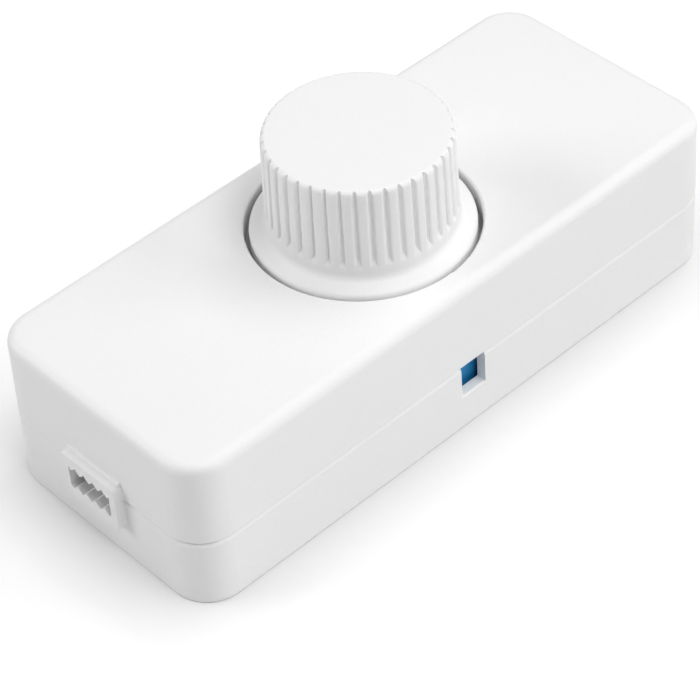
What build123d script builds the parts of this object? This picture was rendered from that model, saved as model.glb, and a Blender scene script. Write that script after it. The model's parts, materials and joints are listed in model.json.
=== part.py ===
from build123d import *
import math
import os

os.makedirs("parts", exist_ok=True)

# Inline rotary dimmer for LED strips: a two-piece moulded case with a skirted control knob on top,
# a toothed cable entry in each end, and a small window in one long side over a trimmer.
# Millimetres. The origin is at the centre of the base, +Z is up, the window faces -Y.

# Case
case_length = 100.0
case_width = 41.1
case_height = 25.3
seam_height = 11.6
corner_radius = 5.9
top_edge_radius = 1.65
top_cover_draft = 1.0
base_edge_radius = 0.4
seam_edge_radius = 0.9
upper_seam_chamfer = 0.12
wall = 1.6
floor_thickness = 2.0
roof_thickness = 2.0
roof_inner_radius = 1.2

# Tongue of the top cover, which drops inside the wall of the bottom cover
lip_depth = 1.5
lip_thickness = 0.9
lip_clearance = 0.15
lip_root_height = 1.2

# Toothed cable entry, split at the seam
entry_width = 8.4
entry_collar_side = 1.35
entry_collar_proud = 1.4
entry_collar_above = 2.5
entry_collar_below = 5.2
entry_collar_radius = 0.7
entry_edge_radius = 0.3
entry_jaw_inside = 3.0
tooth_pitch = 1.85
tooth_height = 0.85
upper_tooth_clearance = 0.05
lower_jaw_depth = 3.45
bead_radius = 0.5
bead_length = 10.4

# Round well that the knob's skirt turns in
well_side_margin = 3.95
well_wall = 1.6
well_depth = 3.8
well_floor_thickness = 2.0
well_rim_radius = 0.35
well_wall_overlap = 0.8

# Screws, their pillars in the bottom cover and their bosses in the top cover
screw_inset = 6.5
screw_length = 10.0
screw_head_radius = 2.15
screw_head_height = 1.5
screw_head_round = 0.9
screw_thread_radius = 1.25
screw_core_radius = 0.9
screw_thread_pitch = 1.0
screw_point_length = 2.0
screw_recess_width = 0.5
screw_recess_length = 2.2
screw_recess_depth = 0.8
screw_hole_clearance = 0.2
screw_head_clearance = 0.3
thread_clearance = 0.03
boss_reach = 3.5
boss_radius = 3.0
boss_hole_extra = 1.0
pillar_wall = 1.3
head_seat_thickness = 3.0

# Circuit board and the four posts that carry it
board_thickness = 1.6
board_side_clearance = 0.5
board_end_clearance = 0.75
board_corner_radius = 1.0
post_height = 1.2
post_radius = 2.4
post_end_inset = 4.0
post_side_inset = 3.4
peg_radius = 1.1
peg_height = 1.0
peg_clearance = 0.15
lead_protrusion = 0.8
lead_clearance = 0.15

# Potentiometer with a threaded bushing
pot_radius = 8.0
pot_plate_thickness = 1.0
pot_wafer_thickness = 1.8
pot_can_depth = 6.1
pot_can_wall = 0.5
pot_can_clearance = 0.02
pot_tab_width = 2.6
pot_tab_angles = (0.0, 180.0, 270.0)
bushing_radius = 3.5
bushing_root_radius = 3.15
bushing_height = 5.8
bushing_pitch = 0.75
bushing_flange_radius = 5.0
bushing_flange_height = 0.8
bushing_hole_clearance = 0.1
shaft_radius = 3.0
shaft_clearance = 0.03
shaft_length = 16.0
shaft_flat_width = 4.5
shaft_flat_length = 8.0
shaft_chamfer = 0.4
knob_travel = 300.0
stop_angle = 24.0
stop_margin = 0.5
dead_zone_direction = 90.0
rotor_radius = 6.4
rotor_lug_radius = 7.5
rotor_thickness = 2.0
rotor_drop = 0.8
stop_inner_radius = 6.8
stop_drop = 0.5
wiper_thickness = 0.25
wiper_inner_radius = 3.8
wiper_outer_radius = 6.2
wiper_finger_angle = 16.0
wiper_running_gap = 0.05
track_inner_radius = 5.0
track_outer_radius = 6.8
track_thickness = 0.15
pot_tongue_width = 14.0
pot_tongue_reach = 11.0
pot_pin_pitch = 5.0
pot_pin_width = 1.0
pot_pin_thickness = 0.3
washer_radius = 5.35
washer_thickness = 0.5
nut_across_flats = 10.0
nut_thickness = 2.2
nut_corner_chamfer = 0.5

# Control knob
knob_height = 15.7
knob_taper = 0.35
knob_skirt_width = 2.35
knob_top_edge_radius = 0.8
knob_cove_start = 1.9
knob_cove_radius = 1.3
knob_skirt_fall = 30.0
knob_rim_radius = 0.85
knob_skirt_gap = 0.75
knob_skirt_clearance = 1.0
knob_skirt_wall = 1.8
knob_skirt_shoulder = 1.0
knob_wall = 1.4
knob_roof = 2.0
knob_hub_radius = 5.0
knob_hub_clearance = 0.6
knob_bore_clearance = 0.02
knob_web_thickness = 1.2
knob_web_clearance = 0.8
groove_count = 40
groove_turn = -0.6
groove_start = 3.0
groove_run_out = 2.0
groove_mouth = 0.5
groove_floor = 0.24
groove_depth = 0.6
rib_edge_radius = 0.3
groove_overshoot = 0.5

# Trimmer behind the window
trimmer_width = 7.0
trimmer_depth = 6.6
trimmer_height = 6.7
trimmer_edge = 0.2
trimmer_wall_gap = 0.9
trimmer_lip_gap = 0.6
trimmer_screw_radius = 0.95
trimmer_screw_drop = 1.3
trimmer_screw_length = 1.6
trimmer_screw_proud = 0.15
trimmer_slot_width = 0.4
trimmer_slot_depth = 0.45
trimmer_pin_pitch = 2.3
trimmer_pin_radius = 0.25
window_width = 4.6
window_shift = 0.28
window_sill_rise = 1.2
window_sill_radius = 0.3

# Two-way screw terminal blocks
block_depth = 8.0
block_height = 10.0
block_pitch = 5.08
block_end_inset = 1.0
block_edge = 0.3
block_floor = 0.8
cage_width = 3.8
cage_height = 5.0
cage_depth = 5.0
cage_wall = 0.5
cage_clearance = 0.1
clamp_head_radius = 1.8
clamp_head_height = 1.6
clamp_head_sink = 0.4
clamp_thread_radius = 1.25
clamp_reach = 1.1
clamp_slot_width = 0.6
clamp_slot_depth = 0.7
block_pin_radius = 0.5

# Power transistor and its heat sink
mosfet_width = 10.0
mosfet_case_thickness = 3.2
mosfet_tab_thickness = 1.3
mosfet_tab_reach = 6.6
mosfet_headroom = 1.0
mosfet_standoff = 1.8
mosfet_tab_inset = 0.2
mosfet_lead_pitch = 2.54
mosfet_lead_width = 0.8
mosfet_lead_thickness = 0.5
mosfet_hole_radius = 1.8
mosfet_hole_drop = 2.8
mosfet_end_inset = 14.0
sink_width = 13.0
sink_plate = 2.0
sink_fin_depth = 2.6
sink_fin_count = 5
sink_fin_thickness = 1.2
sink_headroom = 0.8
sink_side_inset = 0.9
sink_screw_radius = 1.5
sink_screw_head_radius = 2.7
sink_screw_head_height = 1.8
sink_screw_head_round = 0.9
sink_screw_reach = 1.8

# Smoothing capacitor
capacitor_radius = 4.8
capacitor_headroom = 2.4
capacitor_edge = 0.7
capacitor_sleeve_thickness = 0.18
capacitor_sleeve_clearance = 0.02
capacitor_bung_height = 0.8
capacitor_bung_radius = 4.2
capacitor_groove_depth = 0.5
capacitor_groove_height = 1.6
capacitor_lead_pitch = 5.0
capacitor_lead_radius = 0.3
capacitor_end_inset = 17.0
capacitor_side_inset = 7.4

# Control chip in an eight-pin case
chip_length = 9.2
chip_width = 6.4
chip_height = 3.2
chip_standoff = 0.5
chip_pin_pitch = 2.54
chip_rows = 4
chip_pin_width = 0.5
chip_pin_thickness = 0.25
chip_pin_spread = 0.65
chip_notch_radius = 0.8
chip_end_inset = 23.0

# Resettable fuse, diode, resistors and voltage regulator
fuse_radius = 4.5
fuse_thickness = 3.0
fuse_standoff = 1.0
fuse_edge = 0.9
fuse_lead_pitch = 5.1
fuse_lead_radius = 0.3
fuse_end_inset = 13.0
fuse_side_inset = 6.4
diode_radius = 2.6
diode_length = 9.0
diode_lead_radius = 0.5
diode_edge = 0.8
diode_end_inset = 19.0
diode_side_inset = 5.4
resistor_radius = 1.1
resistor_length = 6.2
resistor_lead_radius = 0.28
resistor_edge = 0.35
resistor_count = 4
resistor_spacing = 3.0
resistor_trimmer_gap = 1.65
resistor_side_inset = 5.6
axial_lead_run = 1.2
axial_lead_bend = 0.6
regulator_radius = 2.3
regulator_height = 4.8
regulator_flat = 1.3
regulator_standoff = 2.0
regulator_lead_pitch = 1.27
regulator_lead_radius = 0.22
regulator_side_inset = 7.4

# Places worked out from the sizes above
inner_length = case_length - 2 * wall
inner_width = case_width - 2 * wall
inner_radius = corner_radius - wall
roof_underside = case_height - roof_thickness
well_radius = case_width / 2 - well_side_margin
well_floor = case_height - well_depth
pot_seat = well_floor - well_floor_thickness
screw_x = case_length / 2 - screw_inset
screw_y = case_width / 2 - screw_inset
boss_bottom = seam_height - boss_reach
head_seat = boss_bottom - head_seat_thickness
boss_hole_depth = screw_length - screw_head_height - head_seat_thickness + boss_hole_extra
pillar_radius = screw_head_radius + screw_head_clearance + pillar_wall
board_underside = floor_thickness + post_height
board_top = board_underside + board_thickness
board_length = 2 * (screw_x - pillar_radius - board_end_clearance)
board_width = inner_width - 2 * board_side_clearance
lead_end = board_underside - lead_protrusion
post_x = board_length / 2 - post_end_inset
post_y = board_width / 2 - post_side_inset
window_sill = board_top + window_sill_rise
collar_width = entry_width + 2 * entry_collar_side


def jaw_line(centre_height, between_height):
    """A zigzag across the cable entry: one height at the middle and each whole pitch, the other between."""
    half_pitch = tooth_pitch / 2
    steps = math.floor(entry_width / 2 / half_pitch)
    points = []
    for step in range(-steps, steps + 1):
        height = centre_height if step % 2 == 0 else between_height
        points.append((step * half_pitch, height))
    last_height = points[-1][1]
    next_height = between_height if steps % 2 == 0 else centre_height
    share = entry_width / 2 / half_pitch - steps
    end_height = last_height + (next_height - last_height) * share
    return [(-entry_width / 2, end_height)] + points + [(entry_width / 2, end_height)]


upper_tip = seam_height + upper_tooth_clearance
lower_valley = seam_height - lower_jaw_depth
upper_jaw = jaw_line(upper_tip, upper_tip + tooth_height)
lower_jaw = jaw_line(lower_valley, lower_valley + tooth_height)

# The clear shape of both cable entries, cut from both covers
with BuildPart() as entry_opening:
    with BuildSketch(Plane.YZ):
        with BuildLine():
            Polyline(*lower_jaw, *reversed(upper_jaw), close=True)
        make_face()
    extrude(amount=case_length, both=True)

# The jaws of both cable entries, from inside the wall to the raised collar, before the seam divides them
with BuildPart() as entry_collar:
    with BuildSketch(Plane.YZ.offset(inner_length / 2 - entry_jaw_inside)):
        with Locations((0, seam_height + (entry_collar_above - entry_collar_below) / 2)):
            RectangleRounded(collar_width, entry_collar_above + entry_collar_below, entry_collar_radius)
    extrude(amount=entry_jaw_inside + wall + entry_collar_proud)
    fillet(entry_collar.faces().sort_by(Axis.X)[-1].edges(), entry_edge_radius)
    with Locations((case_length / 2, 0, seam_height + entry_collar_above)):
        Cylinder(bead_radius, bead_length, rotation=(90, 0, 0))
    mirror(about=Plane.YZ)

with BuildPart() as upper_collars:
    add(entry_collar.part)
    split(bisect_by=Plane.XY.offset(seam_height), keep=Keep.TOP)

with BuildPart() as lower_collars:
    add(entry_collar.part)
    split(bisect_by=Plane.XY.offset(seam_height), keep=Keep.BOTTOM)

# Top cover
with BuildPart() as top_cavity:
    with BuildSketch(Plane.XY.offset(seam_height)):
        RectangleRounded(inner_length, inner_width, inner_radius)
    extrude(amount=roof_underside - seam_height)
    fillet(top_cavity.faces().sort_by(Axis.Z)[-1].edges(), roof_inner_radius)

with BuildPart() as top_cover:
    with BuildSketch(Plane.XY.offset(seam_height)):
        RectangleRounded(case_length, case_width, corner_radius)
    extrude(amount=case_height - seam_height, taper=top_cover_draft)
    fillet(top_cover.faces().sort_by(Axis.Z)[-1].edges(), top_edge_radius)
    chamfer(top_cover.faces().sort_by(Axis.Z)[0].edges(), upper_seam_chamfer)
    add(top_cavity.part, mode=Mode.SUBTRACT)
    # Root of the tongue, against the wall
    with BuildSketch(Plane.XY.offset(seam_height)):
        RectangleRounded(inner_length, inner_width, inner_radius)
        offset(amount=-(lip_clearance + lip_thickness), mode=Mode.SUBTRACT)
    extrude(amount=lip_root_height)
    # The tongue itself, clear of the bottom cover's wall
    with BuildSketch(Plane.XY.offset(seam_height - lip_depth)):
        RectangleRounded(
            inner_length - 2 * lip_clearance, inner_width - 2 * lip_clearance, inner_radius - lip_clearance
        )
        offset(amount=-lip_thickness, mode=Mode.SUBTRACT)
    extrude(amount=lip_depth)
    # The tongue stops beside the cable entries' lower jaws
    with BuildSketch(Plane.XY.offset(seam_height - lip_depth)):
        Rectangle(inner_length, collar_width + 2 * lip_clearance)
    extrude(amount=lip_depth, mode=Mode.SUBTRACT)
    # The tongue and its root stop beside the trimmer
    with BuildSketch(Plane.XY.offset(seam_height - lip_depth)):
        with Locations((0, -inner_width / 2)):
            Rectangle(trimmer_width + 2 * trimmer_lip_gap, 2 * (lip_clearance + lip_thickness))
    extrude(amount=lip_depth, mode=Mode.SUBTRACT)
    with BuildSketch(Plane.XY.offset(seam_height)):
        with Locations((0, -inner_width / 2 + lip_clearance + lip_thickness)):
            Rectangle(trimmer_width + 2 * trimmer_lip_gap, 2 * (lip_clearance + lip_thickness))
    extrude(amount=lip_root_height, mode=Mode.SUBTRACT)
    # Well for the knob's skirt
    with BuildSketch(Plane.XY.offset(pot_seat)):
        Circle(well_radius + well_wall)
    extrude(amount=roof_underside + well_wall_overlap - pot_seat)
    with BuildSketch(Plane.XY.offset(well_floor)):
        Circle(well_radius)
    extrude(amount=well_depth, mode=Mode.SUBTRACT)
    fillet(top_cover.faces().sort_by(Axis.Z)[-1].inner_wires().edges(), well_rim_radius)
    with Locations((0, 0, well_floor)):
        Hole(bushing_radius + bushing_hole_clearance, depth=well_floor_thickness)
    # Screw bosses
    with BuildSketch(Plane.XY.offset(boss_bottom)):
        with GridLocations(2 * screw_x, 2 * screw_y, 2, 2):
            Circle(boss_radius)
    extrude(amount=roof_underside - boss_bottom)
    with BuildSketch(Plane.XY.offset(boss_bottom)):
        with GridLocations(2 * screw_x, 2 * screw_y, 2, 2):
            Circle(screw_thread_radius + thread_clearance)
    extrude(amount=boss_hole_depth, mode=Mode.SUBTRACT)
    # Upper halves of the cable entries
    add(upper_collars.part)
    add(entry_opening.part, mode=Mode.SUBTRACT)

top_cover.part.label = "top_cover"
export_step(top_cover.part, "parts/top_cover.step")

# Bottom cover
with BuildPart() as bottom_cover:
    with BuildSketch():
        RectangleRounded(case_length, case_width, corner_radius)
    extrude(amount=seam_height)
    fillet(bottom_cover.faces().sort_by(Axis.Z)[-1].edges(), seam_edge_radius)
    fillet(bottom_cover.faces().sort_by(Axis.Z)[0].edges(), base_edge_radius)
    with BuildSketch(Plane.XY.offset(floor_thickness)):
        RectangleRounded(inner_length, inner_width, inner_radius)
    extrude(amount=seam_height - floor_thickness, mode=Mode.SUBTRACT)
    # Pillars that the top cover's bosses stand on
    with BuildSketch(Plane.XY.offset(floor_thickness)):
        with GridLocations(2 * screw_x, 2 * screw_y, 2, 2):
            Circle(pillar_radius)
    extrude(amount=boss_bottom - floor_thickness)
    with Locations(Plane(origin=(0, 0, 0), z_dir=(0, 0, -1))):
        with GridLocations(2 * screw_x, 2 * screw_y, 2, 2):
            CounterBoreHole(
                screw_thread_radius + screw_hole_clearance,
                screw_head_radius + screw_head_clearance,
                head_seat,
                depth=boss_bottom,
            )
    # Posts under the board, each with a peg through it
    with BuildSketch(Plane.XY.offset(floor_thickness)):
        with GridLocations(2 * post_x, 2 * post_y, 2, 2):
            Circle(post_radius)
    extrude(amount=post_height)
    with BuildSketch(Plane.XY.offset(board_underside)):
        with GridLocations(2 * post_x, 2 * post_y, 2, 2):
            Circle(peg_radius)
    extrude(amount=board_thickness + peg_height)
    # Lower halves of the cable entries
    add(lower_collars.part)
    add(entry_opening.part, mode=Mode.SUBTRACT)
    # Window over the trimmer
    with BuildSketch(Plane.XY.offset(window_sill)):
        with Locations((window_shift, -(case_width + inner_width) / 4)):
            Rectangle(window_width, 2 * wall)
    extrude(amount=seam_height - window_sill, mode=Mode.SUBTRACT)
    sill_corner = (window_shift, -case_width / 2, window_sill)
    fillet(bottom_cover.edges().filter_by(Axis.X).sort_by_distance(sill_corner)[0], window_sill_radius)

bottom_cover.part.label = "bottom_cover"
export_step(bottom_cover.part, "parts/bottom_cover.step")

# One self-tapping case screw, point up, standing at the origin on the underside of its head
screw_body_length = screw_length - screw_head_height
thread_turns = math.floor((screw_body_length - screw_point_length) / screw_thread_pitch)
thread_profile = [(0, 0), (screw_core_radius, 0)]
for turn in range(thread_turns):
    crest = (turn + 1) * screw_thread_pitch
    thread_profile.append((screw_core_radius, crest - screw_thread_pitch / 2))
    thread_profile.append((screw_thread_radius, crest))
    thread_profile.append((screw_core_radius, crest + screw_thread_pitch / 4))
thread_profile.append((screw_core_radius, screw_body_length - screw_point_length))
thread_profile.append((0, screw_body_length))

with BuildPart() as case_screw:
    with BuildSketch(Plane.XZ):
        with BuildLine():
            Polyline(*thread_profile, close=True)
        make_face()
    revolve(axis=Axis.Z)
    with BuildSketch():
        Circle(screw_head_radius)
    extrude(amount=-screw_head_height)
    fillet(case_screw.faces().sort_by(Axis.Z)[0].edges(), screw_head_round)
    with BuildSketch(Plane.XY.offset(-screw_head_height)):
        Rectangle(screw_recess_length, screw_recess_width)
        Rectangle(screw_recess_width, screw_recess_length)
    extrude(amount=screw_recess_depth, mode=Mode.SUBTRACT)

with BuildPart() as case_screws:
    with Locations((0, 0, head_seat)):
        with GridLocations(2 * screw_x, 2 * screw_y, 2, 2):
            add(case_screw.part)

case_screws.part.label = "case_screws"
export_step(case_screws.part, "parts/case_screws.step")

# Where each component's leads go through the board: places on the board and the lead's half size
pot_pin_y = pot_tongue_reach + pot_pin_thickness / 2
pot_pin_places = [(step * pot_pin_pitch, pot_pin_y) for step in (-1, 0, 1)]

trimmer_face = -(inner_width / 2 - trimmer_wall_gap)
trimmer_middle = trimmer_face + trimmer_depth / 2
trimmer_pin_places = [(0, trimmer_middle + step * trimmer_pin_pitch) for step in (-1, 0, 1)]

block_x = board_length / 2 - block_end_inset - block_depth / 2
block_pin_places = []
for end in (-1, 1):
    for side in (-1, 1):
        block_pin_places.append((end * block_x, side * block_pitch / 2))

mosfet_x = board_length / 2 - mosfet_end_inset
sink_back = board_width / 2 - sink_side_inset
sink_front = sink_back - sink_fin_depth - sink_plate
sink_fin_pitch = (sink_width - sink_fin_thickness) / (sink_fin_count - 1)
mosfet_tab_front = sink_front - mosfet_tab_thickness
mosfet_lead_y = mosfet_tab_front - mosfet_case_thickness / 2
mosfet_bottom = board_top + mosfet_standoff
mosfet_lead_places = [(mosfet_x + step * mosfet_lead_pitch, mosfet_lead_y) for step in (-1, 0, 1)]

capacitor_x = -(board_length / 2 - capacitor_end_inset)
capacitor_y = board_width / 2 - capacitor_side_inset
capacitor_lead_places = [(capacitor_x, capacitor_y + step * capacitor_lead_pitch / 2) for step in (-1, 1)]

chip_x = -(board_length / 2 - chip_end_inset)
chip_pin_x = chip_width / 2 + chip_pin_spread
chip_pin_places = []
for side in (-1, 1):
    for row in range(chip_rows):
        chip_pin_places.append((chip_x + side * chip_pin_x, (row - (chip_rows - 1) / 2) * chip_pin_pitch))

fuse_x = -(board_length / 2 - fuse_end_inset)
fuse_y = -(board_width / 2 - fuse_side_inset)
fuse_lead_places = [(fuse_x + step * fuse_lead_pitch / 2, fuse_y) for step in (-1, 1)]

diode_x = board_length / 2 - diode_end_inset
diode_y = -(board_width / 2 - diode_side_inset)
diode_lead_x = diode_length / 2 + axial_lead_run
diode_lead_places = [(diode_x - diode_lead_x, diode_y), (diode_x + diode_lead_x, diode_y)]

resistor_y = -(board_width / 2 - resistor_side_inset)
resistor_lead_y = resistor_length / 2 + axial_lead_run
resistor_last_x = -(trimmer_width / 2 + resistor_trimmer_gap + resistor_radius)
resistor_places = [(resistor_last_x - n * resistor_spacing, resistor_y) for n in range(resistor_count)]
resistor_lead_places = []
for x, y in resistor_places:
    resistor_lead_places.append((x, y - resistor_lead_y))
    resistor_lead_places.append((x, y + resistor_lead_y))

# The regulator stands halfway between the capacitor and the potentiometer's tongue
regulator_x = (capacitor_x + capacitor_radius - pot_tongue_width / 2) / 2
regulator_y = board_width / 2 - regulator_side_inset
regulator_lead_places = [(regulator_x + step * regulator_lead_pitch, regulator_y) for step in (-1, 0, 1)]

board_holes = [
    (pot_pin_places, math.hypot(pot_pin_width, pot_pin_thickness) / 2),
    (trimmer_pin_places, trimmer_pin_radius),
    (block_pin_places, block_pin_radius),
    (mosfet_lead_places, math.hypot(mosfet_lead_width, mosfet_lead_thickness) / 2),
    (capacitor_lead_places, capacitor_lead_radius),
    (chip_pin_places, math.hypot(chip_pin_width, chip_pin_thickness) / 2),
    (fuse_lead_places, fuse_lead_radius),
    (diode_lead_places, diode_lead_radius),
    (resistor_lead_places, resistor_lead_radius),
    (regulator_lead_places, regulator_lead_radius),
]

# Circuit board
with BuildPart() as circuit_board:
    with BuildSketch(Plane.XY.offset(board_underside)):
        RectangleRounded(board_length, board_width, board_corner_radius)
        with GridLocations(2 * post_x, 2 * post_y, 2, 2):
            Circle(peg_radius + peg_clearance, mode=Mode.SUBTRACT)
        for places, lead_radius in board_holes:
            with Locations(*places):
                Circle(lead_radius + lead_clearance, mode=Mode.SUBTRACT)
    extrude(amount=board_thickness)

circuit_board.part.label = "circuit_board"
export_step(circuit_board.part, "parts/circuit_board.step")

# Potentiometer: heights of its layers, from the well floor's underside down
plate_bottom = pot_seat - pot_plate_thickness
wafer_bottom = plate_bottom - pot_wafer_thickness
can_bottom = wafer_bottom - pot_can_depth
bushing_top = pot_seat + bushing_height
rotor_top = wafer_bottom - rotor_drop
rotor_bottom = rotor_top - rotor_thickness
dead_angle = 360 - knob_travel
lug_angle = dead_angle - stop_angle - 2 * stop_margin
rotor_direction = dead_zone_direction - dead_angle / 2


def ring_sector(inner, outer, direction, spread):
    """A flat piece of a ring, spread degrees wide about its direction."""
    start = direction - spread / 2
    with BuildSketch(mode=Mode.PRIVATE) as sector:
        with BuildLine():
            near = CenterArc((0, 0), inner, start, spread)
            far = CenterArc((0, 0), outer, start, spread)
            Line(near @ 0, far @ 0)
            Line(near @ 1, far @ 1)
        make_face()
    return sector.sketch


bushing_profile = [(shaft_radius, plate_bottom - bushing_flange_height)]
bushing_profile.append((bushing_flange_radius, plate_bottom - bushing_flange_height))
bushing_profile.append((bushing_flange_radius, plate_bottom))
bushing_profile.append((bushing_root_radius, plate_bottom))
bushing_turns = math.floor(bushing_height / bushing_pitch)
for turn in range(bushing_turns):
    root = pot_seat + turn * bushing_pitch
    bushing_profile.append((bushing_root_radius, root))
    bushing_profile.append((bushing_radius, root + bushing_pitch / 2))
bushing_profile.append((bushing_root_radius, bushing_top))
bushing_profile.append((shaft_radius, bushing_top))

with BuildPart() as pot_bushing:
    with BuildSketch(Plane.XZ):
        with BuildLine():
            Polyline(*bushing_profile, close=True)
        make_face()
    revolve(axis=Axis.Z)

pot_bushing.part.label = "pot_bushing"
export_step(pot_bushing.part, "parts/pot_bushing.step")

with BuildPart() as pot_front_plate:
    with BuildSketch(Plane.XY.offset(plate_bottom)):
        Circle(pot_radius)
        Circle(bushing_root_radius + pot_can_clearance, mode=Mode.SUBTRACT)
    extrude(amount=pot_plate_thickness)

pot_front_plate.part.label = "pot_front_plate"
export_step(pot_front_plate.part, "parts/pot_front_plate.step")

with BuildPart() as pot_wafer:
    with BuildSketch(Plane.XY.offset(wafer_bottom)):
        Circle(pot_radius)
        with Locations((0, pot_tongue_reach / 2)):
            Rectangle(pot_tongue_width, pot_tongue_reach)
        Circle(bushing_flange_radius + pot_can_clearance, mode=Mode.SUBTRACT)
    extrude(amount=pot_wafer_thickness)

pot_wafer.part.label = "pot_wafer"
export_step(pot_wafer.part, "parts/pot_wafer.step")

with BuildPart() as pot_track:
    with BuildSketch(Plane.XY.offset(wafer_bottom)):
        add(ring_sector(track_inner_radius, track_outer_radius, dead_zone_direction + 180, knob_travel))
    extrude(amount=-track_thickness)

pot_track.part.label = "pot_track"
export_step(pot_track.part, "parts/pot_track.step")

can_radius = pot_radius + pot_can_clearance + pot_can_wall
can_inner_radius = can_radius - pot_can_wall
with BuildPart() as pot_can:
    with BuildSketch(Plane.XY.offset(can_bottom)):
        Circle(can_radius)
    extrude(amount=pot_can_depth)
    with BuildSketch(Plane.XY.offset(can_bottom + pot_can_wall)):
        Circle(can_inner_radius)
    extrude(amount=pot_can_depth - pot_can_wall, mode=Mode.SUBTRACT)
    # Tabs that grip the wafer and the front plate
    tab_spread = math.degrees(pot_tab_width / can_radius)
    for direction in pot_tab_angles:
        with BuildSketch(Plane.XY.offset(wafer_bottom)):
            add(ring_sector(can_inner_radius, can_radius, direction, tab_spread))
        extrude(amount=pot_wafer_thickness + pot_plate_thickness)
    # End stop for the rotor's lug
    with BuildSketch(Plane.XY.offset(can_bottom + pot_can_wall)):
        stop_outer_radius = can_inner_radius + pot_can_wall / 2
        add(ring_sector(stop_inner_radius, stop_outer_radius, dead_zone_direction, stop_angle))
    extrude(amount=rotor_top - stop_drop - can_bottom - pot_can_wall)

pot_can.part.label = "pot_can"
export_step(pot_can.part, "parts/pot_can.step")

# Three terminals: each lies on the wafer's tongue, bends at its end and runs down through the board
with BuildPart() as pot_terminals:
    for place_x, place_y in pot_pin_places:
        with BuildSketch(Plane.YZ.offset(place_x)):
            with BuildLine():
                Polyline(
                    (pot_radius + pot_pin_thickness, plate_bottom),
                    (pot_tongue_reach, plate_bottom),
                    (pot_tongue_reach, lead_end),
                    (pot_tongue_reach + pot_pin_thickness, lead_end),
                    (pot_tongue_reach + pot_pin_thickness, plate_bottom + pot_pin_thickness),
                    (pot_radius + pot_pin_thickness, plate_bottom + pot_pin_thickness),
                    close=True,
                )
            make_face()
        extrude(amount=pot_pin_width / 2, both=True)

pot_terminals.part.label = "pot_terminals"
export_step(pot_terminals.part, "parts/pot_terminals.step")

with BuildPart() as pot_washer:
    with BuildSketch(Plane.XY.offset(well_floor)):
        Circle(washer_radius)
        Circle(bushing_radius + bushing_hole_clearance, mode=Mode.SUBTRACT)
    extrude(amount=washer_thickness)

pot_washer.part.label = "pot_washer"
export_step(pot_washer.part, "parts/pot_washer.step")

nut_bottom = well_floor + washer_thickness
nut_top = nut_bottom + nut_thickness
nut_flat_radius = nut_across_flats / 2
nut_corner_radius = nut_across_flats / math.sqrt(3)
with BuildPart() as pot_nut:
    with BuildSketch(Plane.XY.offset(nut_bottom)):
        RegularPolygon(nut_flat_radius, 6, major_radius=False)
        Circle(bushing_radius + thread_clearance, mode=Mode.SUBTRACT)
    extrude(amount=nut_thickness)
    # Chamfered corners, top and bottom
    with BuildSketch(Plane.XZ):
        with BuildLine():
            Polyline(
                (0, nut_bottom),
                (nut_flat_radius, nut_bottom),
                (nut_corner_radius, nut_bottom + nut_corner_chamfer),
                (nut_corner_radius, nut_top - nut_corner_chamfer),
                (nut_flat_radius, nut_top),
                (0, nut_top),
                close=True,
            )
        make_face()
    revolve(axis=Axis.Z, mode=Mode.INTERSECT)

pot_nut.part.label = "pot_nut"
export_step(pot_nut.part, "parts/pot_nut.step")

# Shaft, with a flat for the knob
shaft_bottom = rotor_bottom - wiper_thickness
shaft_top = pot_seat + shaft_length
with BuildPart() as pot_shaft:
    with BuildSketch(Plane.XY.offset(shaft_bottom)):
        Circle(shaft_radius - shaft_clearance)
    extrude(amount=shaft_top - shaft_bottom)
    chamfer(pot_shaft.edges().sort_by(Axis.Z)[-1], shaft_chamfer)
    with BuildSketch(Plane.XY.offset(shaft_top - shaft_flat_length)):
        with Locations((0, shaft_flat_width)):
            Rectangle(2 * shaft_radius, 2 * shaft_radius)
    extrude(amount=shaft_flat_length, mode=Mode.SUBTRACT)

pot_shaft.part.label = "pot_shaft"
export_step(pot_shaft.part, "parts/pot_shaft.step")

# Rotor on the shaft's lower end, with the lug that meets the can's end stop
with BuildPart() as pot_rotor:
    with BuildSketch(Plane.XY.offset(rotor_bottom)):
        Circle(rotor_radius)
        add(ring_sector(rotor_radius - rotor_thickness, rotor_lug_radius, rotor_direction, lug_angle))
        Circle(shaft_radius, mode=Mode.SUBTRACT)
    extrude(amount=rotor_thickness)

pot_rotor.part.label = "pot_rotor"
export_step(pot_rotor.part, "parts/pot_rotor.step")

# Wiper: a spring ring on the rotor with one finger raised to the track
with BuildPart() as pot_wiper:
    with BuildSketch(Plane.XY.offset(rotor_top)):
        Circle(wiper_outer_radius)
        Circle(wiper_inner_radius, mode=Mode.SUBTRACT)
    extrude(amount=wiper_thickness)
    with BuildSketch(Plane.XY.offset(rotor_top + wiper_thickness)):
        add(ring_sector(track_inner_radius, wiper_outer_radius, rotor_direction, wiper_finger_angle))
    extrude(amount=rotor_drop - wiper_thickness - track_thickness - wiper_running_gap)

pot_wiper.part.label = "pot_wiper"
export_step(pot_wiper.part, "parts/pot_wiper.step")

# Control knob: a tapered ribbed body over a skirt that turns in the well
knob_top = case_height + knob_height
knob_flare = case_height + knob_cove_start
skirt_radius = well_radius - knob_skirt_gap
knob_base_radius = skirt_radius - knob_skirt_width
knob_top_radius = knob_base_radius - knob_taper
skirt_bottom = well_floor + knob_skirt_clearance
knob_inner_radius = knob_top_radius - groove_depth - knob_wall
knob_inner_top = knob_top - knob_roof
hub_bottom = bushing_top + knob_hub_clearance

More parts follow.
